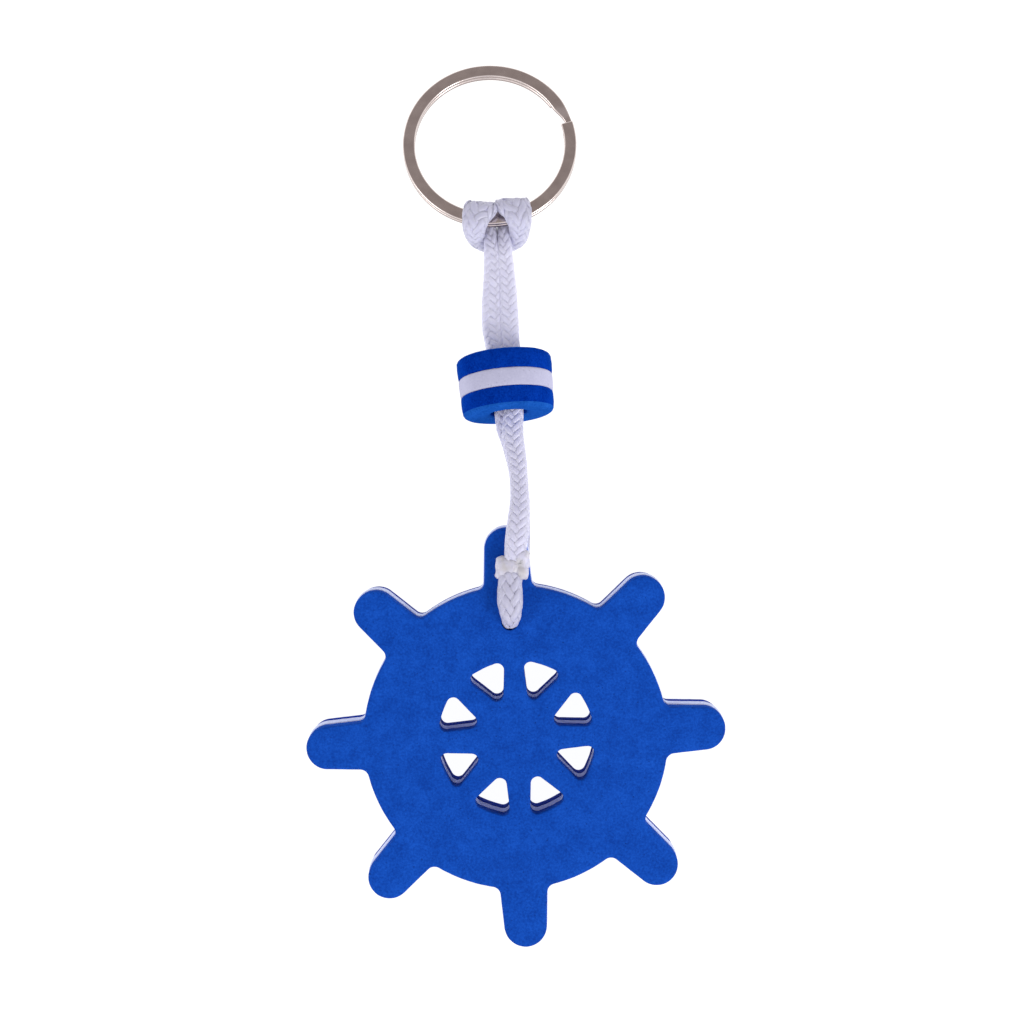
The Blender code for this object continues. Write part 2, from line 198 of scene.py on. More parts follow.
def foam(name, base, dark, light, rough, cut, spec=None, sheen=0.0):
    """Closed-cell foam: the moulded skin is finely mottled with a few open pores; a cut edge shows its cells."""
    m, nt, b = nodes_of(name)
    co = mm_coords(nt)
    cloud = noise_tex(nt, co, 0.35, 3.0, 0.55)
    grain = noise_tex(nt, co, 2.6 if not cut else 3.4, 3.0, 0.65)
    tone = ramp(nt, math_node(nt, "ADD", math_node(nt, "MULTIPLY", cloud, 0.35), math_node(nt, "MULTIPLY", grain, 0.65)),
                [(0.36, dark), (0.5, base), (0.66, light)])
    pores = nt.nodes.new("ShaderNodeTexVoronoi")
    pores.inputs["Scale"].default_value = 1.5 if not cut else 2.2
    pores.inputs["Randomness"].default_value = 1.0
    nt.links.new(co, pores.inputs["Vector"])
    sep = nt.nodes.new("ShaderNodeSeparateColor")
    nt.links.new(pores.outputs["Color"], sep.inputs[0])
    # a pore sits in some of the cells only, and its size varies
    size = math_node(nt, "MULTIPLY", math_node(nt, "SUBTRACT", sep.outputs[0], 0.38 if not cut else 0.3), 0.34, clamp=False)
    hit = math_node(nt, "SUBTRACT", size, pores.outputs["Distance"])
    pit = math_node(nt, "MULTIPLY", hit, 14.0, clamp=True)
    # the pores are sunk by the bump below; their darker colour is painted shade inside them
    pore_shade = tuple(0.42 * c for c in dark)
    colour = mix_rgb(nt, math_node(nt, "MULTIPLY", pit, 0.7 if not cut else 0.4), tone, pore_shade)
    nt.links.new(colour, b.inputs["Base Color"])
    r = nt.nodes.new("ShaderNodeMapRange")
    r.inputs["From Min"].default_value, r.inputs["From Max"].default_value = 0.3, 0.7
    r.inputs["To Min"].default_value, r.inputs["To Max"].default_value = rough - 0.08, rough + 0.10
    nt.links.new(grain, r.inputs["Value"])
    nt.links.new(r.outputs[0], b.inputs["Roughness"])
    b.inputs["Specular IOR Level"].default_value = spec if spec is not None else 0.06 if not cut else 0.02
    if sheen:                                # the cut cells' edges scatter a little at a glancing angle
        b.inputs["Sheen Weight"].default_value = sheen
        b.inputs["Sheen Roughness"].default_value = 0.27
        b.inputs["Sheen Tint"].default_value = (0.06, 0.36, 1.0, 1)
    fine = noise_tex(nt, co, 7.5, 2.0, 0.6)
    height = math_node(nt, "SUBTRACT", math_node(nt, "ADD", math_node(nt, "MULTIPLY", fine, 0.5), grain), pit)
    bump(nt, b, height, 0.35 if not cut else 0.6, 0.00006)
    return m


def cord_material():
    """Braided polyester: bright lavender-white filaments that run along each yarn."""
    m, nt, b = nodes_of("braided_cord")
    uv = nt.nodes.new("ShaderNodeUVMap")
    uv.uv_map = "yarn"
    mp = nt.nodes.new("ShaderNodeMapping")
    mp.inputs["Scale"].default_value = (22.0, 1.1, 1.0)      # fine across the yarn, long along it
    nt.links.new(uv.outputs[0], mp.inputs["Vector"])
    fil = noise_tex(nt, mp.outputs[0], 1.0, 3.0, 0.6, 0.4)
    soft = noise_tex(nt, mm_coords(nt), 0.5, 2.0, 0.5)
    both = math_node(nt, "ADD", math_node(nt, "MULTIPLY", fil, 0.6), math_node(nt, "MULTIPLY", soft, 0.4))
    tone = ramp(nt, both, [(0.34, (0.575, 0.567, 0.735)), (0.52, (0.630, 0.622, 0.795)), (0.68, (0.690, 0.682, 0.850))])
    # the yarn colour is multiplied by the per-stretch 'shade' attribute, which is painted shade and painted light
    painted_shade = nt.nodes.new("ShaderNodeAttribute")
    painted_shade.attribute_name = "shade"
    tone = mix_rgb(nt, 1.0, tone, painted_shade.outputs["Color"], "MULTIPLY")
    nt.links.new(tone, b.inputs["Base Color"])
    b.inputs["Roughness"].default_value = 0.42
    b.inputs["Specular IOR Level"].default_value = 0.42
    b.inputs["Sheen Weight"].default_value = 0.25
    b.inputs["Sheen Roughness"].default_value = 0.4
    b.inputs["Subsurface Weight"].default_value = 0.25
    b.inputs["Subsurface Radius"].default_value = (0.5, 0.5, 0.6)
    b.inputs["Subsurface Scale"].default_value = 0.0006
    bump(nt, b, fil, 0.4, 0.00004)
    return m


def core_material():
    m, nt, b = nodes_of("cord_core")
    co = mm_coords(nt)
    tone = ramp(nt, noise_tex(nt, co, 3.0, 2.0), [(0.3, (0.55, 0.54, 0.71)), (0.7, (0.61, 0.60, 0.78))])
    nt.links.new(tone, b.inputs["Base Color"])
    b.inputs["Roughness"].default_value = 0.7
    return m


def weld_material():
    """Cord ends melted together: waxy, a little translucent, slightly scorched at one side."""
    m, nt, b = nodes_of("melted_cord")
    co = mm_coords(nt)
    stain = noise_tex(nt, co, 0.55, 2.0, 0.5, 0.3)
    tone = ramp(nt, stain, [(0.36, (0.525, 0.505, 0.540)), (0.50, (0.555, 0.540, 0.630)), (0.66, (0.60, 0.590, 0.720))])
    nt.links.new(tone, b.inputs["Base Color"])
    b.inputs["Roughness"].default_value = 0.34
    b.inputs["Specular IOR Level"].default_value = 0.5
    b.inputs["Subsurface Weight"].default_value = 0.5
    b.inputs["Subsurface Radius"].default_value = (1.0, 0.9, 0.9)
    b.inputs["Subsurface Scale"].default_value = 0.0008
    lumps = noise_tex(nt, co, 2.4, 3.0, 0.6, 0.5)
    bump(nt, b, lumps, 0.45, 0.00012)
    return m


def nickel_material():
    """Nickel plate with hairline scratches that follow the winding."""
    m, nt, b = nodes_of("nickel_plate")
    uv = nt.nodes.new("ShaderNodeUVMap")
    uv.uv_map = "strip"
    mp = nt.nodes.new("ShaderNodeMapping")
    mp.inputs["Scale"].default_value = (9.0, 0.35, 1.0)
    nt.links.new(uv.outputs[0], mp.inputs["Vector"])
    lines = noise_tex(nt, mp.outputs[0], 1.0, 4.0, 0.7)
    cloud = noise_tex(nt, mm_coords(nt), 0.45, 2.0)
    tone = ramp(nt, cloud, [(0.3, (0.665, 0.574, 0.547)), (0.7, (0.780, 0.684, 0.650))])
    # the wire's narrow sides are given a darker colour than its faces
    sep = nt.nodes.new("ShaderNodeSeparateXYZ")
    nt.links.new(uv.outputs[0], sep.inputs[0])
    side = ramp(nt, sep.outputs[0], [(0.0, (0, 0, 0)), (0.435, (0, 0, 0)), (0.46, (1, 1, 1)), (0.49, (1, 1, 1)), (0.515, (0, 0, 0)), (0.935, (0, 0, 0)), (0.96, (1, 1, 1)), (1.0, (1, 1, 1))])
    tone = mix_rgb(nt, side, tone, (0.30, 0.245, 0.235))
    nt.links.new(tone, b.inputs["Base Color"])
    b.inputs["Metallic"].default_value = 1.0
    r = nt.nodes.new("ShaderNodeMapRange")
    r.inputs["From Min"].default_value, r.inputs["From Max"].default_value = 0.3, 0.7
    r.inputs["To Min"].default_value, r.inputs["To Max"].default_value = 0.12, 0.26
    nt.links.new(lines, r.inputs["Value"])
    nt.links.new(r.outputs[0], b.inputs["Roughness"])
    bump(nt, b, lines, 0.12, 0.00002)
    return m


BLUE_SKIN = foam("blue_foam_skin", (0.0028, 0.0585, 0.3920), (0.0010, 0.0400, 0.3000), (0.0062, 0.0800, 0.4850), 0.62, False)
# the bead's end faces: a brighter copy of the skin colour, painted light for how the light falls on them
BLUE_END_LIT = foam("blue_foam_end_painted_light", (0.0080, 0.0780, 0.3820), (0.0045, 0.0560, 0.3050), (0.0130, 0.0980, 0.4500), 0.70, False, spec=0.0)
BLUE_CUT = foam("blue_foam_cut", (0.0007, 0.0285, 0.2850), (0.0003, 0.0160, 0.2000), (0.0022, 0.0430, 0.3850), 0.80, True, spec=0.0, sheen=0.45)
WHEEL_CUT = foam("blue_foam_wheel_cut", (0.0050, 0.0640, 0.3900), (0.0030, 0.0500, 0.3300), (0.0080, 0.0800, 0.4500), 0.80, True)
# the rear layer's cut edge: a darker copy of the wheel's cut-edge colour, painted shade low on the wheel
WHEEL_REAR_SHADED = foam("blue_foam_rear_cut_painted_shade", (0.0006, 0.0250, 0.2900), (0.0003, 0.0190, 0.2400), (0.0012, 0.0340, 0.3450), 0.80, True)
# the wheel's white core: a brighter copy of the white cut foam below, painted light on its edges
WHEEL_WHITE_LIT = foam("white_foam_wheel_cut_painted_light", (0.640, 0.690, 0.920), (0.600, 0.645, 0.870), (0.680, 0.730, 0.960), 0.80, True)
WHITE_CUT = foam("white_foam_cut", (0.460, 0.458, 0.612), (0.430, 0.428, 0.580), (0.500, 0.498, 0.650), 0.80, True)
CORD_MAT = cord_material()
CORE_MAT = core_material()
WELD_MAT = weld_material()
NICKEL = nickel_material()


# ---------------------------------------------------------------- mesh helpers
def finish_piece(name, me, mats, body, nodes):
    ob = bpy.data.objects.new(name, me)
    bpy.context.scene.collection.objects.link(ob)
    for m in mats:
        me.materials.append(m)
    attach(ob, body)
    if nodes:
        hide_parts(*nodes)
    return ob


def mesh_from(name, verts, faces, smooth=True):
    me = bpy.data.meshes.new(name)
    me.from_pydata(verts, [], faces)
    me.update()
    if smooth:
        me.shade_smooth()
    return me


# ---------------------------------------------------------------- cord: route, section and lie
# Each point: place, full width across, full thickness, the direction of the width, and the twist of the braid in
# eighths of half a turn, which centres a column of Vs on the side that shows.
X, MX, Z = Vector((1, 0, 0)), Vector((-1, 0, 0)), Vector((0, 0, 1))
hx, hy = HOLE
edge, flat, corner = RING_BAND / 2 + 1.25, RING_T / 2 + 1.22, 0.28
bar = on_hitch(0, -RING_BAND / 2 - 2.37, 0)

ROUTE = [
    (on_wheel(-0.82, 28.4, 11.0), 4.1, 3.3, X, -1.5),
    (on_wheel(-0.98, 26.4, 11.05), 4.15, 3.4, X, -1.5),
    (on_wheel(-0.98, 24.0, 11.05), 4.45, 3.4, X, -1.5),
    (on_wheel(-0.90, 22.4, 10.9), 4.1, 3.2, X, -1.4),
    (on_wheel(-0.85, 21.2, 10.45), 3.65, 2.9, X, -1.3),
    (on_wheel(-0.88, 20.35, 9.65), 3.1, 2.6, X, -1.2),
    (on_wheel(-0.95, hy + 0.05, 8.3), 2.75, 2.6, X, -1.0),
    (on_wheel(hx, hy, 2.4), 2.75, 2.6, X, 0.0),
    (on_wheel(hx + 0.02, hy + 0.15, 0.1), 2.9, 2.3, X, 0.5),
    ((-0.97, WHEEL_Y + hy + 1.0, 1.42), 3.4, 2.3, X, 1.0),
    ((-0.80, WHEEL_Y + hy + 2.6, 1.22), 4.2, 2.35, X, 1.0),
    ((0.10, WHEEL_Y + hy + 7.6, 1.25), 4.2, 2.4, X, 1.0),
    ((0.72, WHEEL_Y + hy + 12.6, 1.42), 3.7, 2.4, X, 1.0),
    ((1.02, WHEEL_Y + 35.85, 2.10), 3.15, 2.6, X, 1.0),
    ((1.08, WHEEL_Y + 38.45, 3.55), 3.0, 2.8, X, 1.0),
    ((0.92, 1.0, 5.10), 3.0, 2.9, X, 1.0),
    ((0.35, 4.7, 6.70), 3.0, 3.0, X, 1.0),
    ((-0.30, 7.4, 7.60), 3.1, 3.0, X, 1.0),
    ((-0.98, 10.1, 8.20), 3.3, 3.0, X, 1.0),
    (in_pair(-7.2, -1), 3.5, 3.0, X, 1.2),
    (in_pair(-4.0, -1), 3.1, 3.1, X, 1.4),
    (in_pair(-0.5, -1), 2.9, 3.3, X, 1.6),
    (in_pair(3.0, -1), 2.9, 3.6, X, 1.8),
]
# the doubled stretch above the bead: along the line, half its whole width, and how far it bows to the side
PAIR = [(5.6, 2.95, -0.15), (7.3, 3.02, -0.20), (9.9, 3.20, -0.32), (13.3, 3.20, -0.23), (16.8, 2.99, -0.02), (20.3, 2.70, 0.12), (23.1, 2.52, 0.15)]
ROUTE += [(on_line(d, off - h / 2 + 0.22), h + 0.5, 3.75, X, 2.1) for d, h, off in PAIR]
half = []
for s in (-1, 1):
    a = X if s < 0 else MX
    top, thick = (1.90, 2.25) if s < 0 else (1.98, 2.7)
    half.append([
        (on_hitch(s * 1.25, -1.0, -flat), 2.6, 2.3, a, 0.2 * -s),
        (on_hitch(s * 1.65, top - 0.35, -flat + corner), 3.5, 2.1, a, -0.4 * -s),
        (on_hitch(s * 2.12, top, 0.0), 5.5, thick, a, -0.8 * -s),
        (on_hitch(s * 2.60, top - 0.45, flat - corner), 6.0, 2.3, a, -1.0 * -s),
        (on_hitch(s * 3.35, 0.0, flat), 5.25, 2.3, a, -1.0 * -s),
        (on_hitch(s * 3.75, -edge + 0.55, flat - corner), 4.5, 2.3, a, -1.0 * -s),
        (on_hitch(s * 3.85, -edge, 0.0), 3.9, 2.3, a, -0.8 * -s),
        ((bar[0] + s * 3.55, bar[1] + 0.45, 6.4), 3.4, 2.5, a, -0.4 * -s),
        ((bar[0] + s * 2.80, bar[1] - 0.05, 4.7), 3.0, 2.7, (X + Z * 0.7) if s < 0 else (MX + Z * 0.7), 0.0),
        ((bar[0] + s * 1.55, bar[1] - 0.20, 3.5), 2.8, 2.8, Z if s < 0 else (Z - X * 0.15), 0.0),
    ])
ROUTE += half[0] + [((bar[0], bar[1] - 0.22, 3.15), 2.8, 2.8, Z, 0.0)] + list(reversed(half[1]))
ROUTE += [(on_line(d, off + h / 2 - 0.22), h + 0.5, 3.75, MX, -1.25) for d, h, off in reversed(PAIR)]
ROUTE += [
    (in_pair(3.0, 1), 2.9, 3.6, MX, -1.1),
    (in_pair(-0.5, 1), 3.0, 3.3, MX, -1.0),
    (in_pair(-4.0, 1), 3.4, 3.1, MX, -1.0),
    (in_pair(-7.2, 1), 3.8, 3.1, MX, -1.0),
    ((-0.42, 10.1, 11.35), 3.8, 3.15, MX, -1.0),
    ((-0.04, 8.1, 11.65), 3.65, 3.2, MX, -1.0),
    ((0.22, 6.3, 12.0), 3.5, 3.2, MX, -1.0),
    ((0.52, 3.5, 12.65), 3.3, 3.2, MX, -1.0),
    ((0.65, 0.05, 13.5), 3.4, 3.2, MX, -1.0),
    ((0.47, -3.3, 14.35), 3.85, 3.2, MX, -1.0),
    (on_wheel(0.22, 34.9, 11.1), 4.1, 3.3, MX, -1.0),
    (on_wheel(0.06, 33.6, 11.15), 4.05, 3.3, MX, -1.0),
    (on_wheel(-0.10, 31.9, 11.1), 3.85, 3.3, MX, -1.0),
    (on_wheel(-0.25, 30.6, 11.0), 3.6, 3.2, MX, -1.0),
]


def catmull(P, per):
    """A curve through rows of numbers whose first three are a place (centripetal Catmull-Rom)."""
    P = [np.array(p, float) for p in P]
    P = [2 * P[0] - P[1]] + P + [2 * P[-1] - P[-2]]
    out = []
    for i in range(len(P) - 3):
        a, b, c, d = P[i:i + 4]
        gap = [max(np.linalg.norm(v[:3] - u[:3]), 1e-6) ** 0.5 for u, v in ((a, b), (b, c), (c, d))]
        t0, t1 = 0.0, gap[0]
        t2, t3 = t1 + gap[1], t1 + gap[1] + gap[2]
        n = max(2, int(np.linalg.norm(c[:3] - b[:3]) / per))
        for k in range(n):
            t = t1 + (t2 - t1) * k / n
            e = a * ((t1 - t) / (t1 - t0)) + b * ((t - t0) / (t1 - t0))
            f = b * ((t2 - t) / (t2 - t1)) + c * ((t - t1) / (t2 - t1))
            g = c * ((t3 - t) / (t3 - t2)) + d * ((t - t2) / (t3 - t2))
            h = e * ((t2 - t) / (t2 - t0)) + f * ((t - t0) / (t2 - t0))
            j = f * ((t3 - t) / (t3 - t1)) + g * ((t - t1) / (t3 - t1))
            out.append(h * ((t2 - t) / (t2 - t1)) + j * ((t - t1) / (t2 - t1)))
    out.append(P[-2])
    return np.array(out)


def unit(v):
    return v / np.maximum(np.linalg.norm(v, axis=-1, keepdims=True), 1e-12)


# how the braid lies, by stretch: length of a full turn round the cord, how far a yarn rises and dives, how much
# squarer than an oval the section is, and a factor on the yarn's colour: painted shade below 1 and painted light above
# 1, for how the light falls on each stretch
STRETCHES = [(7, (18.4, 0.092, 0.14, 0.76)),          # single, on the wheel
             (2, (14.0, 0.080, 0.14, 0.90)),          # through the hole
             (14, (11.4, 0.052, 0.16, 0.94)),         # under the handle and up to the bead
             (7, (10.8, 0.022, 0.36, 1.05)),          # doubled, left
             (21, (13.6, 0.044, 0.04, 0.83)),         # round the ring
             (7, (10.8, 0.022, 0.36, 1.05)),          # doubled, right
             (14, (11.2, 0.048, 0.16, 0.95))]         # from the bead to the fused joint
LIE = [lie for n, lie in STRETCHES for _ in range(n)]
assert len(LIE) == len(ROUTE)

STEP = 0.34
raw = catmull([[*p, w, t, *hint.normalized(), tw, *lie] for (p, w, t, hint, tw), lie in zip(ROUTE, LIE)], 0.08)
along = np.concatenate([[0], np.cumsum(np.linalg.norm(np.diff(raw[:, :3], axis=0), axis=1))])
LENGTH = along[-1]
S = np.linspace(0, LENGTH, int(LENGTH / STEP) + 1)
line = np.stack([np.interp(S, along, raw[:, k]) for k in range(raw.shape[1])], axis=1)
C, W, T, HINT, TW = line[:, :3], line[:, 3], line[:, 4], line[:, 5:8], line[:, 8] * pi / 8
TURN, AMP, SQUARE, SHADE = line[:, 9], line[:, 10], line[:, 11], line[:, 12]
PHASE = np.concatenate([[0], np.cumsum(2 * pi / ((TURN[1:] + TURN[:-1]) / 2) * np.diff(S))])
tangent = unit(np.gradient(C, axis=0))
lateral = unit(HINT - (HINT * tangent).sum(1, keepdims=True) * tangent)
normal = np.cross(tangent, lateral)

YARNS, YARN_T = 8, 0.40        # yarns each way; their thickness


def braid():
    verts, faces, uvs, mats = [], [], [], []
    ring = 8
    n = len(S)
    a, b = W / 2 - 0.33, T / 2 - 0.33
    around = pi * (3 * (a + b) - np.sqrt((3 * a + b) * (a + 3 * b))) * (1 + 0.35 * SQUARE)      # girth
    for sense in (1, -1):
        for k in range(YARNS):
            phi0 = pi / 16 + 2 * pi * k / YARNS + sense * PHASE
            phi = phi0 + TW
            over = sense * np.cos(4 * phi0)
            rise = np.tanh(1.7 * over) / np.tanh(1.7)
            c, s_ = np.cos(phi), np.sin(phi)
            x, y = a * c * (1 + SQUARE * s_ ** 2), b * s_ * (1 + SQUARE * c ** 2)
            dx = a * (-s_ - SQUARE * s_ ** 3 + 2 * SQUARE * s_ * c ** 2)
            dy = b * (c + SQUARE * c ** 3 - 2 * SQUARE * c * s_ ** 2)
            out = unit(dy[:, None] * lateral - dx[:, None] * normal)
            wob = np.array([noise.noise(Vector((S[i] * 0.35, k * 3.7, sense * 11.3))) for i in range(n)])
            mid = C + x[:, None] * lateral + y[:, None] * normal + out * (AMP * rise + 0.045 * wob)[:, None]
            way = unit(np.gradient(mid, axis=0))
            out = unit(out - (out * way).sum(1, keepdims=True) * way)
            side = np.cross(way, out)
            lean = np.arctan2(around, TURN)
            hw = around * np.cos(lean) / YARNS / 2 * (1.17 + 0.08 * rise + 0.08 * wob)
            ht = YARN_T / 2 * (1.0 + 0.18 * rise)
            base = len(verts)
            for i in range(n):
                for j in range(ring):
                    q = 2 * pi * (j + 0.5) / ring
                    cq, sq = cos(q), sin(q)
                    verts.append(mid[i] + side[i] * (hw[i] * cq) + out[i] * (ht[i] * sq))
            for i in range(n - 1):
                for j in range(ring):
                    j1 = (j + 1) % ring
                    p, q = base + i * ring, base + (i + 1) * ring
                    faces.append((p + j, p + j1, q + j1, q + j))
                    u0, u1 = j / ring, (j + 1) / ring
                    v0, v1 = S[i] + 37 * k + 400 * (sense > 0), S[i + 1] + 37 * k + 400 * (sense > 0)
                    uvs.append(((u0, v0), (u1, v0), (u1, v1), (u0, v1)))
                    mats.append(0)
            for end, rev in ((base, True), (base + (n - 1) * ring, False)):
                loop = [end + j for j in range(ring)]
                faces.append(tuple(reversed(loop)) if rev else tuple(loop))
                uvs.append(tuple((0.5, 0.5) for _ in loop))
                mats.append(0)
    # the filling under the yarns, which comes up between them where the braid is tight
    fill = np.interp(AMP, [0.020, 0.050, 0.095], [0.12, 0.06, -0.02])
    base, ring = len(verts), 14
    for i in range(n):
        for j in range(ring):
            q = 2 * pi * j / ring
            verts.append(C[i] + lateral[i] * ((a[i] + fill[i]) * cos(q) * (1 + SQUARE[i] * sin(q) ** 2))
                         + normal[i] * ((b[i] + fill[i]) * sin(q) * (1 + SQUARE[i] * cos(q) ** 2)))
    for i in range(n - 1):
        for j in range(ring):
            j1 = (j + 1) % ring
            p, q = base + i * ring, base + (i + 1) * ring
            faces.append((p + j, p + j1, q + j1, q + j))
            uvs.append(((0, 0), (1, 0), (1, 1), (0, 1)))
            mats.append(1)
    for end, rev in ((base, True), (base + (n - 1) * ring, False)):
        loop = [end + j for j in range(ring)]
        faces.append(tuple(reversed(loop)) if rev else tuple(loop))
        uvs.append(tuple((0.5, 0.5) for _ in loop))
        mats.append(1)
    me = mesh_from("braided_cord", [v * MM for v in verts], faces)
    lay = me.uv_layers.new(name="yarn")
    lay.data.foreach_set("uv", [x for f in uvs for p in f for x in p])
    me.polygons.foreach_set("material_index", mats)
    # per-point factor on the cord's colour, painted shade and painted light by stretch
    shade = me.attributes.new("shade", "FLOAT", "POINT")
    shade.data.foreach_set("value", [float(SHADE[i]) for _ in range(2 * YARNS) for i in range(n) for _ in range(8)]
                           + [float(SHADE[i]) for i in range(n) for _ in range(14)])
    return me


cord = finish_piece("braided_cord", braid(), [CORD_MAT, CORE_MAT], "wheel_float", ["cord"])
bm = bmesh.new()
bm.from_mesh(cord.data)
bmesh.ops.recalc_face_normals(bm, faces=bm.faces)
bm.to_mesh(cord.data)
bm.free()


# ---------------------------------------------------------------- outlines of the die-cut foam
def rounded(corners, radii, steps):
    """A closed outline from sharp corners, each one replaced by an arc."""
    out = []
    n = len(corners)
    for i in range(n):
        radius = radii[i]
        p, a, b = Vector(corners[i]), Vector(corners[i - 1]), Vector(corners[(i + 1) % n])
        u, v = (a - p).normalized(), (b - p).normalized()
        half = u.angle(v) / 2
        centre = p + (u + v).normalized() * (radius / sin(half))
        s, e = p + u * (radius / tan(half)) - centre, p + v * (radius / tan(half)) - centre
        a0 = atan2(s.y, s.x)
        turn = (atan2(e.y, e.x) - a0 + pi) % (2 * pi) - pi
        for k in range(steps + 1):
            t = a0 + turn * k / steps
            out.append((centre.x + radius * cos(t), centre.y + radius * sin(t)))
    return out


def divided(loop, most):
    """The closed loop again, with no side longer than most."""
    out = []
    for i, p in enumerate(loop):
        q = loop[(i + 1) % len(loop)]
        d = sqrt((q[0] - p[0]) ** 2 + (q[1] - p[1]) ** 2)
        n = max(1, int(round(d / most)))
        out += [(p[0] + (q[0] - p[0]) * k / n, p[1] + (q[1] - p[1]) * k / n) for k in range(n)]
    return out


def turn_xy(loop, a):
    return [(x * cos(a) - y * sin(a), x * sin(a) + y * cos(a)) for x, y in loop]


# the punch is a little off: how much longer each handle is, and how far each window is shifted, millimetres
HANDLE_MORE = (-0.15, 0.12, 0.0, -0.12, -0.17, 0.0, 0.15, 0.15)
WINDOW_SHIFT = ((-0.08, -0.32), (0.20, -0.24), (0.40, -0.22), (0.29, -0.02), (0.17, -0.14), (0.14, 0.07), (0.05, -0.02), (0.07, -0.14))


def wheel_outline():
    slope = (HANDLE_TIP - HANDLE_ROOT) / (TIP_R - HANDLE_TIP - DISC_R)
    out_r = DISC_R + FILLET
    xc = DISC_R
    for _ in range(20):
        yc = HANDLE_ROOT + slope * (xc - DISC_R) + FILLET * sqrt(1 + slope * slope)
        xc = sqrt(out_r * out_r - yc * yc)
    touch = atan2(yc, xc)
    half = []
    for k in range(9):
        a = touch + pi + (pi / 2 - touch + atan2(slope, 1)) * k / 8
        half.append((xc + FILLET * cos(a), yc + FILLET * sin(a)))
    tip = [(TIP_R - HANDLE_TIP + HANDLE_TIP * cos(radians(a)), HANDLE_TIP * sin(radians(a))) for a in range(90, 0, -6)]
    side = half + tip + [(TIP_R, 0.0)]
    handle = [(x, -y) for x, y in side] + [(x, y) for x, y in reversed(side[:-1])]
    out = []
    for k in range(HANDLES):
        a = 2 * pi * k / HANDLES
        more = HANDLE_MORE[k] / (TIP_R - DISC_R)
        out += turn_xy([(x + more * max(x - DISC_R, 0), y) for x, y in handle], a)
        gap = 2 * pi / HANDLES - 2 * touch
        out += [(DISC_R * cos(a + touch + gap * j / 16), DISC_R * sin(a + touch + gap * j / 16)) for j in range(1, 16)]
    return divided(out, 0.8)


def window_outlines():
    w = radians(WINDOW_HALF)
    x, y = WINDOW_OUT * cos(w), WINDOW_OUT * sin(w)
    tri = rounded([(WINDOW_APEX, 0), (x, -y), (x + WINDOW_BULGE, 0), (x, y)],
                  [WINDOW_ROUND, WINDOW_ROUND, 14.0, WINDOW_ROUND], 7)
    tri = divided(tri, 0.5)
    return [[(x + WINDOW_SHIFT[k][0], y + WINDOW_SHIFT[k][1]) for x, y in turn_xy(tri, 2 * pi * (k + 0.5) / HANDLES)]
            for k in range(HANDLES)]


HOLE_AT, HOLE_R = 19.75, 1.28      # the foam closes round the cord that fills its hole


def hole_outline(r=HOLE_R):
    return [(0.0 + r * 1.02 * cos(2 * pi * k / 40), HOLE_AT + r * sin(2 * pi * k / 40)) for k in range(40)]


def outward(loop):
    """Unit normals of a counter-clockwise loop, pointing out of it."""
    P = np.array(loop)
    d = unit(np.roll(P, -1, 0) - np.roll(P, 1, 0))
    return np.stack([d[:, 1], -d[:, 0]], axis=1)


def inside(points, loop):
    """Whether each point is inside the closed loop."""
    P = np.array(loop)
    Q = np.roll(P, -1, 0)
    x, y = points[:, 0:1], points[:, 1:2]
    cross = (P[None, :, 1] > y) != (Q[None, :, 1] > y)
    at = P[None, :, 0] + (y - P[None, :, 1]) * (Q[None, :, 0] - P[None, :, 0]) / np.where(Q[None, :, 1] == P[None, :, 1], 1e-12, Q[None, :, 1] - P[None, :, 1])
    return ((cross & (x < at)).sum(1) % 2).astype(bool)


OUTER, WINDOWS, CUT_HOLE = wheel_outline(), window_outlines(), hole_outline()


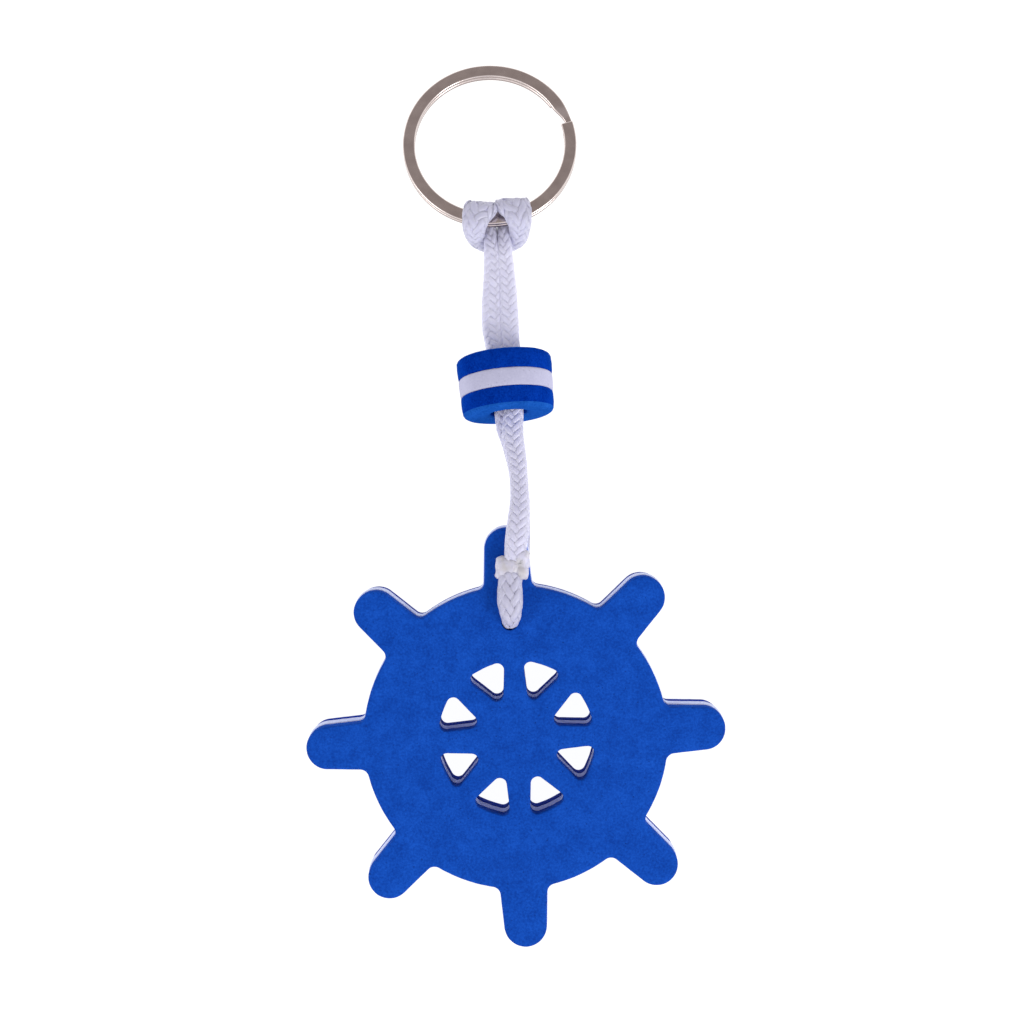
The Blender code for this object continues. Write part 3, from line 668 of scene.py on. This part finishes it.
def foam_sheet(name, z0, profile, skin_top, skin_bottom, seed):
    """One layer of the wheel. profile is (inset, height) up the cut edge; both flat sides are triangulated with
    points inside, so that they can be slightly uneven."""
    verts, faces, mats = [], [], []
    rows_of = []
    for loop, hole in [(OUTER, False)] + [(w, True) for w in WINDOWS] + [(CUT_HOLE, True)]:
        P, N = np.array(loop), outward(loop) * (-1 if not hole else 1)
        small = 0.5 if hole else 1.0
        swell = 0.16 if not hole and not (skin_top or skin_bottom) else 0.0       # the white layer stands out a little
        rows = []
        for inset, z in profile:
            row = []
            for i, (p, n) in enumerate(zip(P, N)):
                rough = 0.022 * noise.noise(Vector((p[0] * 1.3, p[1] * 1.3, z * 2.0 + seed)))
                q = p + n * (inset * small + rough - swell)
                row.append(len(verts))
                verts.append((q[0], q[1], z0 + z))
            rows.append(row)
        for r, (a, b) in enumerate(zip(rows, rows[1:])):
            top_lip = skin_top and r >= len(rows) - 3
            low_lip = skin_bottom and r < 2
            for i in range(len(a)):
                j = (i + 1) % len(a)
                f = (a[i], a[j], b[j], b[i]) if not hole else (a[j], a[i], b[i], b[j])
                faces.append(f)
                mats.append(0 if top_lip or low_lip else 1)
        rows_of.append((rows, hole))
    V = np.array(verts)
    grid = []
    pitch = 0.95
    for i in range(-40, 41):
        for j in range(-46, 47):
            x, y = (i + 0.5 * (j % 2)) * pitch, j * pitch * 0.866
            if x * x + y * y < (TIP_R - 0.6) ** 2:
                h = noise.noise(Vector((x * 3.1, y * 3.1, seed)))
                grid.append((x + 0.25 * h, y + 0.22 * noise.noise(Vector((x * 2.7, y * 2.7, seed + 9)))))
    grid = np.array(grid)
    ok = inside(grid, OUTER)
    for w in WINDOWS + [CUT_HOLE]:
        ok &= ~inside(grid, w)
    grid = grid[ok]
    rim = np.concatenate([V[rows[-1]][:, :2] for rows, _ in rows_of])
    near = np.array([np.min(((rim - g) ** 2).sum(1)) for g in grid])
    grid = grid[near > 0.48 ** 2]
    for top in (True, False):
        fill = grid if (skin_top if top else skin_bottom) else grid[:0]
        ids, edges = [], []
        for rows, _ in rows_of:
            row = rows[-1] if top else rows[0]
            n0 = len(ids)
            ids += row
            edges += [(n0 + i, n0 + (i + 1) % len(row)) for i in range(len(row))]
        z = z0 + (profile[-1][1] if top else profile[0][1])
        start = len(verts)
        for x, y in fill:
            dz = 0.045 * noise.noise(Vector((x * 0.11, y * 0.11, seed))) + 0.016 * noise.noise(Vector((x * 0.5, y * 0.5, seed + 5)))
            verts.append((x, y, z + dz * (1 if top else 0.4)))
        ids += list(range(start, start + len(fill)))
        pts = [Vector((verts[i][0], verts[i][1])) for i in ids]
        out_v, _, out_f, orig, _, _ = delaunay_2d_cdt(pts, edges, [], 0, 1e-7, True)
        back = [ids[o[0]] if o else None for o in orig]
        mid = np.array([[sum(out_v[i][k] for i in f) / 3 for k in (0, 1)] for f in out_f])
        keep = inside(mid, [verts[i][:2] for i in (rows_of[0][0][-1] if top else rows_of[0][0][0])])
        for rows, _ in rows_of[1:]:
            keep &= ~inside(mid, [verts[i][:2] for i in (rows[-1] if top else rows[0])])
        for f, k in zip(out_f, keep):
            if k:
                t = tuple(back[i] for i in f)
                faces.append(t if top else t[::-1])
                mats.append(0)
    a = radians(WHEEL_TURN)
    placed = [Vector(on_wheel(x * cos(a) - y * sin(a), x * sin(a) + y * cos(a), z)) * MM for x, y, z in verts]
    me = mesh_from(name, placed, faces)
    me.polygons.foreach_set("material_index", mats)
    return me


def edge_profile(t, top, bottom):
    """(inset, height) up a layer's cut edge: rounded where it is an outer face, slightly nipped in at a glue line."""
    low = [(0.32, 0.0), (0.13, 0.05), (0.04, 0.17), (0.0, 0.4)] if bottom else [(0.11, -0.04), (0.04, 0.12), (0.01, 0.4)]
    high = [(0.0, t - 0.4), (0.04, t - 0.17), (0.13, t - 0.05), (0.32, t)] if top else [(0.01, t - 0.4), (0.04, t - 0.12), (0.11, t + 0.04)]
    return low + [(-0.015, t / 2)] + high


z = 0.0
for part, t, mats, top, bottom in (("wheel_rear_layer", BLUE_T, [BLUE_SKIN, WHEEL_REAR_SHADED], False, True),
                                   ("wheel_core_layer", WHITE_T, [WHEEL_WHITE_LIT, WHEEL_WHITE_LIT], False, False),
                                   ("wheel_front_layer", BLUE_T, [BLUE_SKIN, WHEEL_CUT], True, False)):
    me = foam_sheet(part.replace("_layer", "_foam"), z, edge_profile(t, top, bottom), top, bottom, 3.0 + z)
    finish_piece(part.replace("_layer", "_foam"), me, mats, "wheel_float", [part])
    z += t + GLUE


# ---------------------------------------------------------------- bead float
bead_rot = Matrix.Rotation(radians(BEAD_LEAN - 0.5), 3, 'Z') @ Matrix.Rotation(-pi / 2 - bead_dip, 3, 'X')
bead_at = Vector((BEAD_AT[0] - 0.08, BEAD_AT[1], bead_z))
BORE = (3.08, 2.95)            # half width and half height of the bore, which the doubled cord fills


def foam_disc(name, rows, seed):
    """A layer of the bead. rows are (out, height, part): out from 0 at the bore to 1 at the rim, plus millimetres."""
    seg = 120
    verts, faces, mats = [], [], []
    for k in range(seg):
        a = 2 * pi * k / seg
        bore = 1 / sqrt((cos(a) / BORE[0]) ** 2 + (sin(a) / BORE[1]) ** 2)
        for share, extra, z, _ in rows:
            r = bore + (BEAD_R + 0.04 * z - bore) * share + extra
            n = noise.noise(Vector((cos(a) * 3.0, sin(a) * 3.0, z * 0.9 + seed)))
            n2 = noise.noise(Vector((cos(a) * 14.0, sin(a) * 14.0, z * 2.2 + seed)))
            r += (0.045 * n + 0.018 * n2) * share
            p = bead_rot @ Vector((r * cos(a), r * sin(a), z + 0.02 * n2)) + bead_at
            verts.append(p * MM)
    n = len(rows)
    for k in range(seg):
        a, b = k * n, ((k + 1) % seg) * n
        for i in range(n):
            j = (i + 1) % n
            faces.append((a + i, b + i, b + j, a + j))
            mats.append(rows[i][3])
    me = mesh_from(name, verts, faces)
    me.polygons.foreach_set("material_index", mats)
    return me


def disc_rows(z, t, low_end, high_end):
    rows = []
    if low_end:      # an outer face, dished towards the bore, with a soft rim
        rows += [(0.0, 0.0, z + 0.75, 1), (0.0, 0.10, z + 0.42, 0), (0.10, 0.0, z + 0.26, 0), (0.35, 0.0, z + 0.13, 0),
                 (0.70, 0.0, z + 0.03, 0), (1.0, -1.00, z, 0), (1.0, -0.58, z + 0.08, 0), (1.0, -0.27, z + 0.28, 0), (1.0, -0.09, z + 0.62, 1)]
    else:
        rows += [(0.0, 0.0, z, 1), (1.0, -0.16, z - 0.04, 1), (1.0, -0.06, z + 0.14, 1), (1.0, -0.01, z + 0.5, 1)]
    rows += [(1.0, 0.02, z + t * 0.5, 1)]
    if high_end:
        rows += [(1.0, -0.09, z + t - 0.62, 1), (1.0, -0.27, z + t - 0.28, 0), (1.0, -0.58, z + t - 0.08, 0), (1.0, -1.00, z + t, 0),
                 (0.70, 0.0, z + t - 0.03, 0), (0.35, 0.0, z + t - 0.13, 0), (0.10, 0.0, z + t - 0.26, 0), (0.0, 0.10, z + t - 0.42, 1), (0.0, 0.0, z + t - 0.75, 1)]
    else:
        rows += [(1.0, -0.01, z + t - 0.5, 1), (1.0, -0.06, z + t - 0.14, 1), (1.0, -0.16, z + t + 0.04, 1), (0.0, 0.0, z + t, 1)]
    return rows


z = -BEAD_T / 2
for part, t, mats, low, high in (("bead_lower_layer", BEAD_LAYERS[0], [BLUE_END_LIT, BLUE_CUT], True, False),
                                 ("bead_middle_layer", BEAD_LAYERS[1], [WHITE_CUT, WHITE_CUT], False, False),
                                 ("bead_upper_layer", BEAD_LAYERS[2], [BLUE_END_LIT, BLUE_CUT], False, True)):
    name = part.replace("_layer", "_foam")
    me = foam_disc(name, disc_rows(z, t, low, high), 20.0 + z)
    finish_piece(name, me, mats, "bead_float", [part])
    z += t + GLUE


# ---------------------------------------------------------------- split ring
ring_at = Vector((*RING_AT, ring_z))
ring_rot = Matrix.Rotation(-tilt, 3, 'X')


def strip_height(turned_by):
    front, back = RING_T - COIL_T / 2 - 0.02, COIL_T / 2 + 0.02
    first = 360 - (END_B - END_A)
    t = min(max((turned_by - first) / (END_B - END_A), 0.0), 1.0)
    return front + (back - front) * t * t * (3 - 2 * t)


def ring_mesh():
    hw, ht, c = RING_BAND / 2, COIL_T / 2 + 0.015, 0.24
    total = 2 * 360 - (END_B - END_A)
    section = []
    for sx, sy, a0 in ((1, 1, 0), (-1, 1, 90), (-1, -1, 180), (1, -1, 270)):
        for k in range(5):
            a = radians(a0 + 90 * k / 4)
            section.append((sx * (hw - c) + c * cos(a), sy * (ht - c * 0.9) + c * 0.9 * sin(a)))
    n = len(section)
    stops = [(-0.0, 0.62), (0.10, 0.82), (0.35, 0.95), (0.8, 1.0)]            # blunt ends with worn corners
    first = 360 - (END_B - END_A)
    def narrow(d):       # how far the strip's inner edge draws outward where it crosses, in the open gap only
        t, u = min(max((d - first - 2) / (END_B - END_A - 3), 0.0), 1.0), min(max((d - first - (END_B - END_A)) / 6, 0.0), 1.0)
        return 1.0 * t * t * (3 - 2 * t) * (1 - u * u * (3 - 2 * u))
    turns = [(d, k) for d, k in stops] + [(total * i / 470, 1.0) for i in range(1, 470)] + [(total - d, k) for d, k in reversed(stops)]
    verts, faces, uvs = [], [], []
    for d, k in turns:
        a, h, slim = radians(END_A - d), strip_height(d), narrow(d)
        for r, s in section:
            r += (hw - r) / (2 * hw) * slim
            p = Vector(((mid_r + r * (0.6 + 0.4 * k)) * cos(a), (mid_r + r * (0.6 + 0.4 * k)) * sin(a), h + s * k))
            verts.append((ring_rot @ p + ring_at) * MM)
    for i in range(len(turns) - 1):
        for j in range(n):
            j1 = (j + 1) % n
            p, q = i * n, (i + 1) * n
            faces.append((p + j, q + j, q + j1, p + j1))
            v0, v1 = (radians(turns[i][0]) * mid_r, radians(turns[i + 1][0]) * mid_r)
            uvs.append(((j / n, v0), (j / n, v1), ((j + 1) / n, v1), ((j + 1) / n, v0)))
    last = (len(turns) - 1) * n
    faces.append(tuple(range(n)))
    uvs.append(tuple((0.5, 0.0) for _ in range(n)))
    faces.append(tuple(last + j for j in reversed(range(n))))
    uvs.append(tuple((0.5, 0.0) for _ in range(n)))
    me = mesh_from("key_ring", verts, faces)
    lay = me.uv_layers.new(name="strip")
    lay.data.foreach_set("uv", [x for f in uvs for p in f for x in p])
    me.set_sharp_from_angle(angle=radians(50))
    return me


ring = finish_piece("key_ring", ring_mesh(), [NICKEL], "ring", ["split_ring"])
bm = bmesh.new()
bm.from_mesh(ring.data)
bmesh.ops.recalc_face_normals(bm, faces=bm.faces)
bm.to_mesh(ring.data)
bm.free()


# ---------------------------------------------------------------- the cord's two ends, melted together
def lump_mesh():
    lumps = [  # place on the wheel, half sizes, turned
        ((-1.74, 29.28, 11.05), (1.70, 1.78, 1.50), 0.15),
        ((-2.45, 30.35, 11.00), (0.85, 0.85, 1.15), 0.4),
        ((-2.70, 28.20, 10.90), (0.72, 0.90, 1.10), 0.0),
        ((-0.70, 29.45, 11.25), (1.20, 1.60, 1.45), 0.0),
        ((1.04, 30.88, 11.35), (1.20, 1.48, 1.45), -0.25),
        ((1.04, 28.50, 11.10), (1.12, 1.28, 1.35), 0.1),
        ((0.66, 27.55, 10.80), (0.42, 0.45, 0.70), -0.3),
        ((1.55, 27.70, 10.70), (0.45, 0.55, 0.75), 0.5),
        ((-3.20, 27.95, 10.50), (0.34, 0.50, 0.60), -0.2),
        ((1.95, 29.95, 10.80), (0.42, 0.85, 0.95), 0.0),
    ]
    bm = bmesh.new()
    for (u, v, w), (a, b, c), turned in lumps:
        made = bmesh.ops.create_icosphere(bm, subdivisions=4, radius=1.0)
        for vert in made["verts"]:
            d = vert.co.copy()
            k = (abs(d.x) ** 2.6 + abs(d.y) ** 2.6 + abs(d.z) ** 2.6) ** (1 / 2.6)
            d = Vector((d.x / k * a, d.y / k * b, d.z / k * c))
            d = Matrix.Rotation(turned, 3, 'Z') @ d
            vert.co = Vector(on_wheel(u + d.x, v + d.y, w + d.z))
    me = bpy.data.meshes.new("lumps")
    bm.to_mesh(me)
    bm.free()
    tmp = bpy.data.objects.new("lumps", me)
    bpy.context.scene.collection.objects.link(tmp)
    mod = tmp.modifiers.new("remesh", "REMESH")
    mod.mode = "VOXEL"
    mod.voxel_size = 0.14
    sm = tmp.modifiers.new("smooth", "SMOOTH")
    sm.factor, sm.iterations = 0.6, 5
    out = bpy.data.meshes.new_from_object(tmp.evaluated_get(bpy.context.evaluated_depsgraph_get()))
    bpy.data.objects.remove(tmp)
    pit = Vector(on_wheel(0.79, 29.92, 12.7))
    for v in out.vertices:
        co = v.co.copy()
        h = 0.16 * noise.noise(co * 0.9) + 0.09 * noise.noise(co * 2.1 + Vector((3, 0, 0)))
        d = (co - pit).length
        h -= 0.45 * exp(-(d / 0.55) ** 2)
        v.co = (co + v.normal * h) * MM
    out.update()
    out.shade_smooth()
    out.name = "melted_joint"
    return out


finish_piece("melted_joint", lump_mesh(), [WELD_MAT], "wheel_float", ["cord_weld"])


# ---------------------------------------------------------------- light and table
scene = bpy.context.scene
scene.view_settings.view_transform = "Standard"

world = bpy.data.worlds.new("studio")
scene.world = world
world.use_nodes = True
nt = world.node_tree
bg = nt.nodes["Background"]
tc = nt.nodes.new("ShaderNodeTexCoord")


def toward(direction, low, high):
    """1 inside a soft round patch of sky about a direction, 0 outside."""
    dot = nt.nodes.new("ShaderNodeVectorMath")
    dot.operation = "DOT_PRODUCT"
    nt.links.new(tc.outputs["Generated"], dot.inputs[0])
    dot.inputs[1].default_value = Vector(direction).normalized()
    r = nt.nodes.new("ShaderNodeMapRange")
    r.interpolation_type = "SMOOTHSTEP"
    r.inputs["From Min"].default_value = cos(radians(low))
    r.inputs["From Max"].default_value = cos(radians(high))
    nt.links.new(dot.outputs["Value"], r.inputs["Value"])
    return r.outputs[0]


sky = mix_rgb(nt, toward((0, 0.30, 0.95), 62, 16), (1.26, 1.26, 1.28), (0.50, 0.48, 0.49))
sky = mix_rgb(nt, toward((0.0, 0.665, 0.747), 36, 20), sky, (0.36, 0.325, 0.32))
nt.links.new(sky, bg.inputs["Color"])
bg.inputs["Strength"].default_value = 0.9


def area(name, at, aim, size, power, colour=(1, 1, 1)):
    d = bpy.data.lights.new(name, "AREA")
    d.shape = "RECTANGLE"
    d.size, d.size_y = size
    d.energy = power
    d.color = colour
    ob = bpy.data.objects.new(name, d)
    scene.collection.objects.link(ob)
    ob.location = at
    ob.rotation_euler = (Vector(aim) - Vector(at)).to_track_quat("-Z", "Y").to_euler()
    return ob


area("key", (0.55, -0.30, 0.42), (0, 0, 0), (0.35, 0.35), 2.6)
area("fill", (-0.55, -0.10, 0.36), (0, 0, 0), (0.35, 0.35), 1.0)

m, nt, b = nodes_of("table")
grain = noise_tex(nt, mm_coords(nt), 0.05, 3.0)
nt.links.new(ramp(nt, grain, [(0.3, (0.19, 0.19, 0.19)), (0.7, (0.21, 0.21, 0.21))]), b.inputs["Base Color"])
b.inputs["Roughness"].default_value = 0.9
b.inputs["Specular IOR Level"].default_value = 0.0
b.inputs["Emission Color"].default_value = (1, 1, 1, 1)
b.inputs["Emission Strength"].default_value = 0.97
floor_me = mesh_from("table", [(-3, -3, 0), (3, -3, 0), (3, 3, 0), (-3, 3, 0)], [(0, 1, 2, 3)], smooth=False)
floor_me.materials.append(m)
floor = bpy.data.objects.new("table", floor_me)
scene.collection.objects.link(floor)
